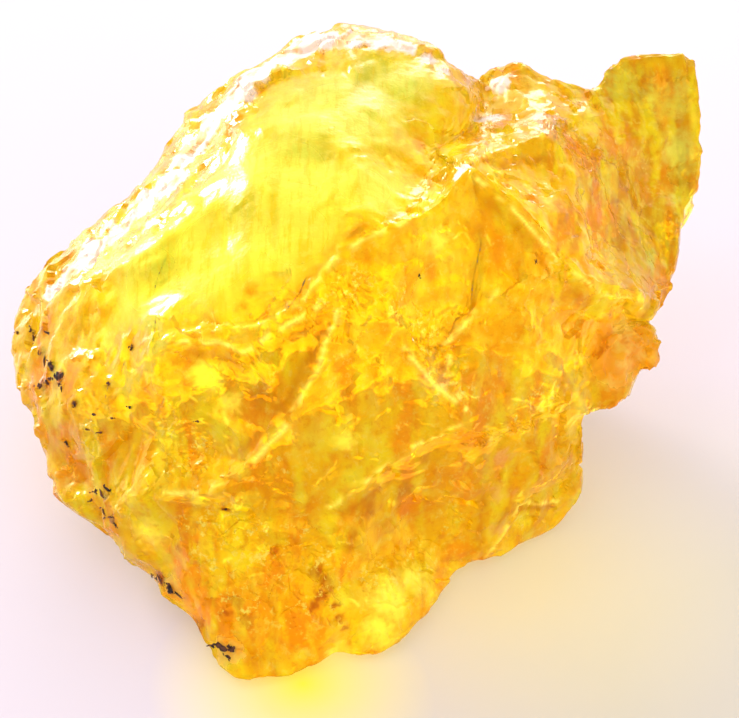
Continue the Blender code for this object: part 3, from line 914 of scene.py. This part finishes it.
def plain_finish(name, colour, spot_colour, roughness):
    """A finish for what lies inside: two colours clouded together. Its shader comes back with it."""
    material, mixed, finish = new_finish(name)
    clouded = mixed.rescale(mixed.cloudy(waves=3000.0, detail=3.0), 0.0, 1.0, over=(0.4, 0.6))
    finish.inputs["Roughness"].default_value = roughness
    mixed.put(finish.inputs["Base Color"], mixed.mix(clouded, (*colour, 1.0), (*spot_colour, 1.0)))
    return material, finish


print("one mm under the crest:", in_mm(inside(*CREST, depth=1.0)[0]), "mm")

# %% [markdown]
# ## Glints
# Tiny curved cracks flash like foil, most of all around the places that were struck or crumbled. Each is a
# narrow bent flake, half see-through and a little bright of itself, because a bare mirror that small would
# show only as noise.

# %% Glints from small cracks
GLINTS = (  # across, down, spread in steps, how many
    (196, 451, 34, 26), (240, 540, 60, 40), (170, 420, 40, 12), (290, 540, 50, 20), (440, 355, 26, 26),
    (462, 395, 26, 20), (330, 300, 30, 12), (270, 335, 50, 12), (400, 450, 60, 14), (360, 490, 40, 10),
    (240, 600, 60, 20), (385, 590, 34, 22), (330, 620, 40, 10), (540, 400, 40, 20), (530, 510, 36, 22),
    (420, 220, 50, 12), (380, 160, 60, 12), (590, 165, 30, 12), (620, 250, 40, 10), (560, 300, 50, 8),
    (120, 400, 50, 8), (130, 490, 40, 12), (470, 250, 30, 8), (300, 200, 70, 10), (60, 420, 40, 8),
)
GLINT_COVER = 0.3  # mm of amber that lies at least between a glint's middle and the skin
GLINT_DEPTH, GLINT_LEAN, GLINT_BEND = (0.1, 1.6), 55, 0.9
GLINT_SHORT, GLINT_MORE, GLINT_SLIM, GLINT_THICK = 0.18, 0.9, (0.12, 0.35), 0.03
GLINT_PALE, GLINT_GOLD = (1.0, 0.98, 0.55), (1.0, 0.85, 0.25)
glints = Flakes()
for across, down, spread, count in GLINTS:
    for _ in range(count):
        turn, far = dice.uniform(0, 2 * np.pi), spread * np.sqrt(dice.uniform())
        depth = dice.uniform(*GLINT_DEPTH)
        length = GLINT_SHORT + GLINT_MORE * dice.uniform() ** 3
        bent = dice.uniform(-GLINT_BEND, GLINT_BEND)
        try:
            centre, facing = inside(across + far * np.cos(turn), down + far * np.sin(turn), depth)
        except ValueError:  # beside the piece
            continue
        nearest, outward, _, cover = skin_tree.find_nearest(centre)
        if cover < GLINT_COVER * MM or (centre - nearest).dot(outward) > 0:
            continue
        leaning, tangent = spin(facing, GLINT_LEAN)
        width = length * dice.uniform(*GLINT_SLIM)
        glints.add(centre, tangent, leaning, length, width, GLINT_THICK, bent)
glint_finish, glint_shader = plain_finish("bright_cracks", GLINT_PALE, GLINT_GOLD, roughness=0.2)
glint_shader.inputs["Alpha"].default_value = 0.4
glint_shader.inputs["Emission Color"].default_value = (*GLINT_PALE, 1.0)
glint_shader.inputs["Emission Strength"].default_value = 0.8
glints.piece("inner_glints", glint_finish)

# %% [markdown]
# ## Dark flecks
# Bits of bark and soil sit in the outer skin as black crumbs along old seams. One smooth dark patch would
# look like paint. So each fleck is a short bar, proud of the skin by a hair, with a few crumbs broken off
# around it, and the brown stains laid earlier lie under them.

# %% Dark flecks
FLECKS = (  # across, down, length and width in mm, long way in steps
    (31, 330, 0.5, 0.25, (0.3, 1.0)), (34, 338, 0.6, 0.18, (0.3, 1.0)), (45, 361, 1.1, 0.16, (0.7, 1.0)),
    (52, 368, 0.9, 0.3, (0.8, 1.0)), (59, 376, 0.9, 0.55, (1.0, -0.4)), (18, 333, 0.35, 0.2, (1.0, 0.5)),
    (48, 333, 0.5, 0.2, (1.0, 0.4)), (40, 386, 0.5, 0.4, (0.2, 1.0)), (47, 382, 0.4, 0.3, (0.2, 1.0)),
    (62, 388, 0.5, 0.12, (0.5, 1.0)), (75, 404, 0.45, 0.2, (0.3, 1.0)), (109, 383, 0.25, 0.2, (1.0, 0.0)),
    (132, 348, 0.3, 0.25, (0.4, 1.0)), (130, 407, 0.35, 0.2, (1.0, 0.2)), (94, 414, 0.3, 0.2, (1.0, 0.2)),
    (87, 429, 0.4, 0.12, (1.0, 0.1)), (67, 444, 0.5, 0.15, (0.6, 1.0)), (112, 418, 0.2, 0.15, (1.0, 0.1)),
    (100, 433, 0.5, 0.08, (1.0, -0.2)), (102, 495, 0.8, 0.2, (1.0, 0.7)), (108, 490, 0.7, 0.15, (0.9, 0.8)),
    (96, 491, 0.4, 0.12, (0.9, -0.4)), (112, 517, 0.8, 0.1, (1.0, -0.1)), (104, 512, 0.5, 0.1, (0.5, 1.0)),
    (116, 525, 0.3, 0.15, (0.5, 1.0)), (92, 500, 0.3, 0.12, (0.8, -0.5)), (160, 579, 0.9, 0.22, (1.0, 0.5)),
    (170, 588, 0.8, 0.35, (1.0, 0.9)), (178, 594, 0.8, 0.14, (1.0, 0.4)), (222, 647, 0.9, 0.5, (1.0, 0.3)),
    (232, 650, 0.7, 0.4, (1.0, 0.6)), (228, 657, 0.5, 0.2, (1.0, 0.8)), (198, 421, 0.22, 0.18, (1.0, 0.0)),
    (226, 509, 0.2, 0.15, (1.0, 0.0)), (419, 275, 0.35, 0.07, (0.4, 1.0)), (536, 262, 0.2, 0.12, (0.4, 1.0)),
)
FLECK_PROUD, FLECK_THICK, FLECK_WIDER, FLECK_BEND = 0.04, 0.22, 1.2, 0.3
CRUMBS, CRUMB_THICK, CRUMB_LEAN = 9, 0.14, 20
CRUMB_ALONG, CRUMB_ASIDE = 0.8, 1.1  # how far crumbs lie, in the fleck's own lengths and widths
CRUMB_LONG, CRUMB_WIDE = (0.12, 0.45), (0.2, 0.8)  # their sizes, in the same
BARK_BLACK, BARK_BROWN = (0.010, 0.006, 0.004), (0.12, 0.04, 0.02)
flecks = Flakes()
for across, down, length, width, (da, dd) in FLECKS:
    along = ACROSS * da - UPWARD * dd
    centre, facing = inside(across, down, -FLECK_PROUD)
    bend = dice.uniform(-FLECK_BEND, FLECK_BEND)
    flecks.add(centre, along, facing, length, width * FLECK_WIDER, FLECK_THICK, bend)
    for _ in range(CRUMBS):
        away = along.normalized() * length * dice.uniform(-CRUMB_ALONG, CRUMB_ALONG)
        away += ACROSS * dice.uniform(-CRUMB_ASIDE, CRUMB_ASIDE) * width
        leaning, tangent = spin(facing, CRUMB_LEAN)
        crumb_long, crumb_wide = length * dice.uniform(*CRUMB_LONG), width * dice.uniform(*CRUMB_WIDE)
        flecks.add(centre + away * MM, tangent, leaning, crumb_long, crumb_wide, CRUMB_THICK)
fleck_finish, _ = plain_finish("bark_flecks", BARK_BLACK, BARK_BROWN, roughness=0.95)
flecks.piece("bark_flecks", fleck_finish)

# %% [markdown]
# ## Hair cracks
# A few long cracks show as thin grey or brown lines. A true crack is a sheet seen edge on, but only its edge
# shows here, so each is a chain of narrow flakes along a drawn line, at slightly different depths.

# %% Hair cracks
CRACKS = (  # name, line, width in mm
    ("grey crack", ((166, 258), (158, 276), (153, 295), (157, 309), (155, 325), (153, 342)), 0.10),
    ("dark seam", ((132, 344), (121, 372), (108, 386), (105, 400), (94, 414), (102, 434), (101, 456)), 0.05),
    ("brown line", SHADE_LINES["brown line"], 0.10),
    ("crest crack", ((306, 278), (300, 292), (292, 303), (283, 314)), 0.12),
)
SHORTEST_STEP, CRACK_OVERLAP, CRACK_THICK = 0.02, 1.5, 0.05
CRACK_DEPTH, CRACK_UNEVEN = (0.0, 0.1), (0.5, 1.3)
CRACK_OLIVE, CRACK_BROWN = (0.16, 0.15, 0.04), (0.35, 0.16, 0.05)
cracks = Flakes()
for name, line, width in CRACKS:
    marks = line_on_skin(*line, step=4.0)
    print(name, "is a chain of up to", len(marks) - 1, "flakes")
    for here, after in zip(marks, marks[1:]):
        step = after - here
        if step.length < SHORTEST_STEP * MM:
            continue
        _, facing, _, _ = skin_tree.find_nearest(here)
        centre = (here + after) / 2 - facing * dice.uniform(*CRACK_DEPTH) * MM
        length, uneven = step.length / MM * CRACK_OVERLAP, dice.uniform(*CRACK_UNEVEN)
        cracks.add(centre, step, facing, length, width * uneven, CRACK_THICK)
crack_finish, crack_shader = plain_finish("crack_shade", CRACK_OLIVE, CRACK_BROWN, roughness=0.6)
crack_shader.inputs["Alpha"].default_value = 0.7
cracks.piece("hair_cracks", crack_finish)

# %% [markdown]
# ## Bubbles
# Air bubbles were caught in the last pulse of resin, beside the rib. A true bubble is a sphere of air, but at
# a tenth of a millimetre only its bright rim is seen, so a small eight-sided bead in the glints' finish is
# enough. That finish glows a little of itself, so each bead is a painted highlight for the rim.

# %% Bubbles
BUBBLES, BUBBLE_SIZE, ANY_WAY = 60, (0.08, 0.2), 90
BUBBLE_ACROSS, BUBBLE_DOWN, BUBBLE_DEPTH = (335, 420), (345, 440), (0.2, 2.0)
bubbles = Flakes()
for _ in range(BUBBLES):
    across, down, depth = (dice.uniform(*ends) for ends in (BUBBLE_ACROSS, BUBBLE_DOWN, BUBBLE_DEPTH))
    centre, facing = inside(across, down, depth)
    leaning, tangent = spin(facing, ANY_WAY)
    size = dice.uniform(*BUBBLE_SIZE)
    bubbles.add(centre, tangent, leaning, size, size, size)
bubbles.piece("bubbles", glint_finish)

# %% [markdown]
# ## The floor
# Amber on a pale table throws its own light: yellow where the lamp's light has come through the resin.
# Tracing such caustics takes thousands of samples, so the floor's material paints them as soft pools. The
# bright pool under the piece also lights it from below, which makes its lower half glow.

# %% A pale floor
FLOOR_HALF, FLOOR_DROP = 3.0, 0.05 * MM  # metres
corners = [(x * FLOOR_HALF, y * FLOOR_HALF, 0) for x, y in ((-1, -1), (1, -1), (1, 1), (-1, 1))]
floor_mesh = bpy.data.meshes.new("floor")
floor_mesh.from_pydata(corners, [], [(0, 1, 2, 3)])
floor = set_up("floor", floor_mesh)
floor.location.z = -FLOOR_DROP
floor_paint, floor_mix, floor_shader = new_finish("floor_paint")
floor_shader.inputs["Roughness"].default_value = 0.5
floor_mesh.materials.append(floor_paint)
print("the floor is", 2 * FLOOR_HALF, "m wide")

# %% Pools of light on the floor
def pool(place, core, edge):
    """1 within core of a place of the floor, fading to 0 at edge, in mm."""
    where = floor_mix.node("TexCoord", "Object", {})
    shift = (-place[0] * MM, -place[1] * MM, 0.0)
    where = floor_mix.node("Mapping", "Vector", {"Vector": where, "Location": shift})
    away = floor_mix.node("VectorMath", "Value", {0: where}, operation="LENGTH")
    return floor_mix.rescale(away, 1.0, 0.0, over=(core * MM, edge * MM))


WIDE_POOL_SHARE = 0.35
below = pool((-1.0, 5.0), core=9.0, edge=18.0)
wide = floor_mix.sum_of(pool((10.0, -12.0), core=4.0, edge=20.0), WIDE_POOL_SHARE, "MULTIPLY")
before = floor_mix.sum_of(pool((-4.0, -23.0), core=0.0, edge=11.0), wide, "MAXIMUM")
# Painted shadow: a cream pool to the front right, where the window's shadow falls.
shaded = pool((30.0, -24.0), core=12.0, edge=34.0)
print("nodes in the floor:", len(floor_mix.nodes))

# %% The floor's colour with a painted shadow and caustic, and the light in its pools
PALE_FLOOR, SHADOW_CREAM_FLOOR = (0.46, 0.405, 0.50, 1.0), (0.40, 0.365, 0.31, 1.0)
CAUSTIC_YELLOW_FLOOR = (0.42, 0.35, 0.06, 1.0)
AROUND_LIGHT, BEFORE_LIGHT = (1.0, 0.88, 0.66, 1.0), (1.0, 0.74, 0.0, 1.0)
BELOW_LIGHT = (1.0, 0.78, 0.10, 1.0)
AROUND_GLOW, BELOW_GLOW, BEFORE_GLOW = 0.28, 2.4, 0.5
paint = floor_mix.mix(before, floor_mix.mix(shaded, PALE_FLOOR, SHADOW_CREAM_FLOOR), CAUSTIC_YELLOW_FLOOR)
floor_mix.put(floor_shader.inputs["Base Color"], paint)
thrown = floor_mix.mix(below, floor_mix.mix(before, AROUND_LIGHT, BEFORE_LIGHT), BELOW_LIGHT)
floor_mix.put(floor_shader.inputs["Emission Color"], thrown)
strength = floor_mix.rescale(below, AROUND_GLOW, BELOW_GLOW)
strength = floor_mix.sum_of(strength, floor_mix.rescale(before, 0.0, BEFORE_GLOW))
floor_mix.put(floor_shader.inputs["Emission Strength"], strength)
print("nodes in the finished floor:", len(floor_mix.nodes))

# %% [markdown]
# ## The light
# Clear things show what stands around them, so amber in an even white room looks like flat plastic. In a
# studio, bright and dim panels are hung round such a piece. Here the world is a tent with soft bright and
# dim patches, and the camera alone sees plain white. A low window behind the piece rakes over the crust, and
# a weaker lamp catches the far rim.

# %% A light tent with bright and dim panels
TENT_DIM, TENT_BRIGHT, TENT_PLAIN, TENT_PANELS = 0.5, 2.35, 1.1, 1.7
PANEL_DETAIL, PANEL_EDGE = 1.5, (0.36, 0.64)
world = bpy.data.worlds.new("studio")
world.use_nodes = True
tent = Recipe(world.node_tree)
sky = tent.node("TexCoord", "Generated", {})
panels = tent.node("TexNoise", "Fac", {"Vector": sky, "Scale": TENT_PANELS, "Detail": PANEL_DETAIL})
lit = tent.rescale(panels, TENT_DIM, TENT_BRIGHT, over=PANEL_EDGE)
seen = tent.node("LightPath", "Is Camera Ray", {})
plain = tent.node("Mix", VALUE_OUT, {"Factor": seen, VALUE_A: lit, VALUE_B: TENT_PLAIN})
tent.put(tent.nodes["Background"].inputs["Strength"], plain)
tent.nodes["Background"].inputs["Color"].default_value = (0.96, 0.95, 1.0, 1.0)
bpy.context.scene.world = world
print("the tent shines from", TENT_DIM, "to", TENT_BRIGHT)

# %% Two soft lamps
KEY_WATTS, RIM_WATTS = 4.0, 0.8
LAMP_DISTANCE, LAMP_LIFT = 0.6, 0.01  # metres


def softbox(name, azimuth, elevation, size, watts, colour):
    """A round soft lamp: azimuth in degrees east of straight behind the piece, size in metres."""
    lamp = bpy.data.lights.new(name, "AREA")
    lamp.shape = "DISK"
    lamp.size = size
    lamp.energy = watts
    lamp.color = colour
    made = set_up(name, lamp)
    az, el = np.radians(azimuth), np.radians(elevation)
    away = Vector((np.sin(az) * np.cos(el), np.cos(az) * np.cos(el), np.sin(el)))
    made.location = away * LAMP_DISTANCE + Vector((0, 0, LAMP_LIFT))
    made.rotation_mode = "QUATERNION"
    made.rotation_quaternion = (-away).to_track_quat("-Z", "Y")
    print(name, "stands at", [round(v, 2) for v in made.location], "m")


WINDOW_WHITE, RIM_PINK = (1.0, 0.98, 0.95), (1.0, 0.93, 0.97)
softbox("window", azimuth=-42, elevation=12, size=0.16, watts=KEY_WATTS, colour=WINDOW_WHITE)
softbox("low_rim", azimuth=6, elevation=14, size=0.2, watts=RIM_WATTS, colour=RIM_PINK)

# %% [markdown]
# ## How light is followed
# A ray in clear amber is bent, turned back inside and bent again before it leaves. With few bounces those
# paths end black, and with very many the picture takes too long. Eight are enough here. The faint glows of
# skin and floor are left for rays to meet by chance, because aiming at all their triangles costs more than
# it gains. The Standard view keeps the yellows as they are, where a film-like one bleaches them.

# %% Bounces and view
LIGHT_BOUNCES, DIFFUSE_BOUNCES, GLOSSY_BOUNCES = 8, 2, 3
bpy.context.scene.view_settings.view_transform = "Standard"
for material in (amber, floor_paint, glint_finish):
    material.cycles.emission_sampling = "NONE"
rays = bpy.context.scene.cycles
rays.max_bounces = rays.transmission_bounces = LIGHT_BOUNCES
rays.diffuse_bounces = DIFFUSE_BOUNCES
rays.glossy_bounces = GLOSSY_BOUNCES
print("a ray may be bent", LIGHT_BOUNCES, "times")

# %% [markdown]
# ## The end
